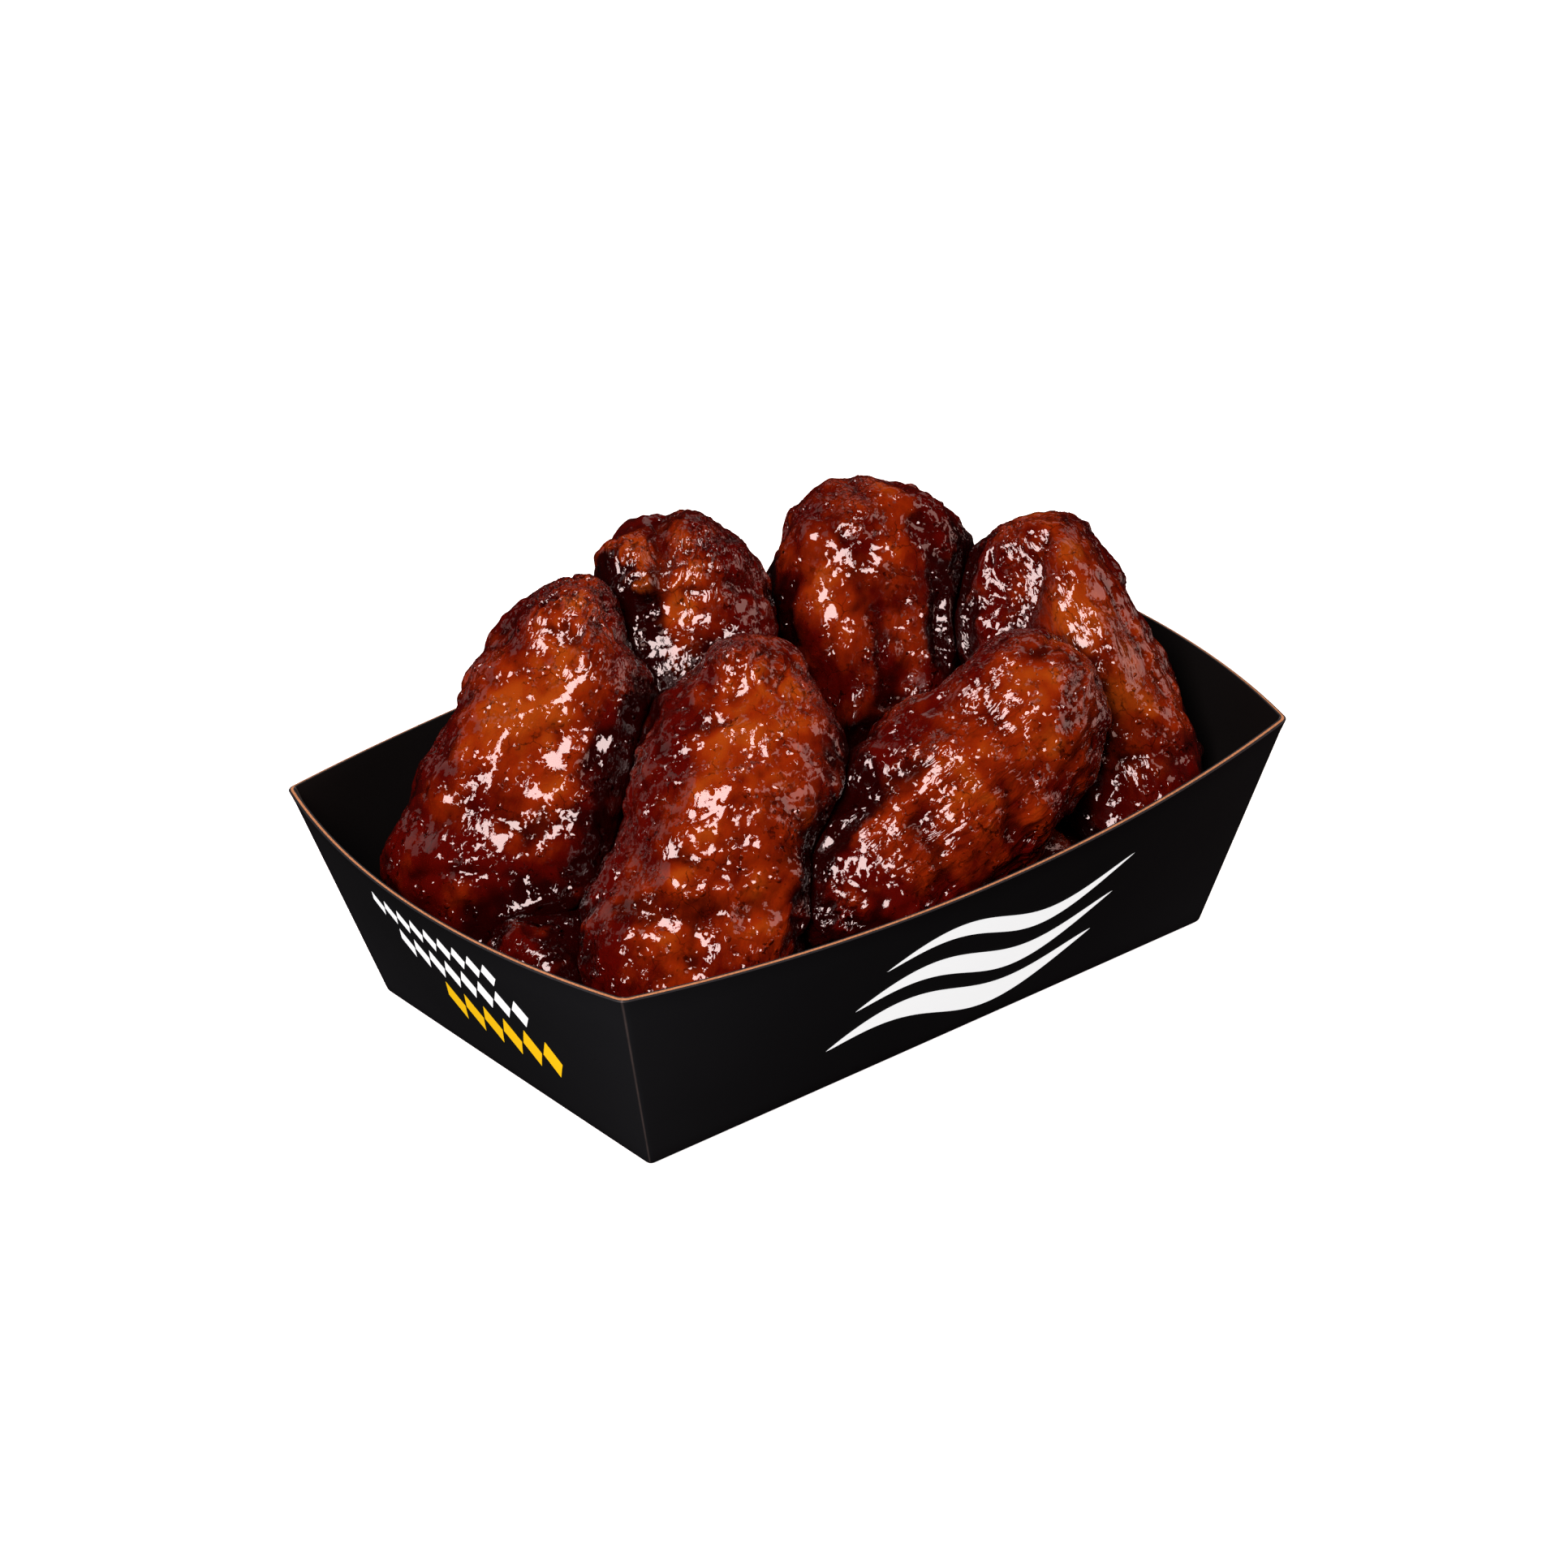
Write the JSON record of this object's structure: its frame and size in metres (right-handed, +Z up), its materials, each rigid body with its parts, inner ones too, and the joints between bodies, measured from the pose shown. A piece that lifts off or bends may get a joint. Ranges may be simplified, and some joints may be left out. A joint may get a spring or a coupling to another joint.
{
  "type": "chicken wings serving",
  "caption": "Heap of glossy barbecue-glazed chicken wings in an open, flared tray of folded black board, some standing and leaning and some lying flat.",
  "frame": {"origin": "centre of the tray's underside, on the surface it stands on", "axes": "+X along the tray's long side, +Y along its short side towards the back, +Z up"},
  "size_m": [0.1966, 0.1354, 0.0891],
  "materials": {
    "tray_board": "satin black",
    "wing_glaze": "wet gloss"
  },
  "bodies": {
    "root": {"tray": "tray_board", "wing_front_left": "wing_glaze", "wing_front_middle": "wing_glaze", "wing_front_right": "wing_glaze", "wing_back_left": "wing_glaze", "wing_back_middle": "wing_glaze", "wing_right": "wing_glaze", "wing_low_left": "wing_glaze", "wing_low_front": "wing_glaze", "wing_low_middle": "wing_glaze", "wing_low_back": "wing_glaze"}
  },
  "joints": []
}
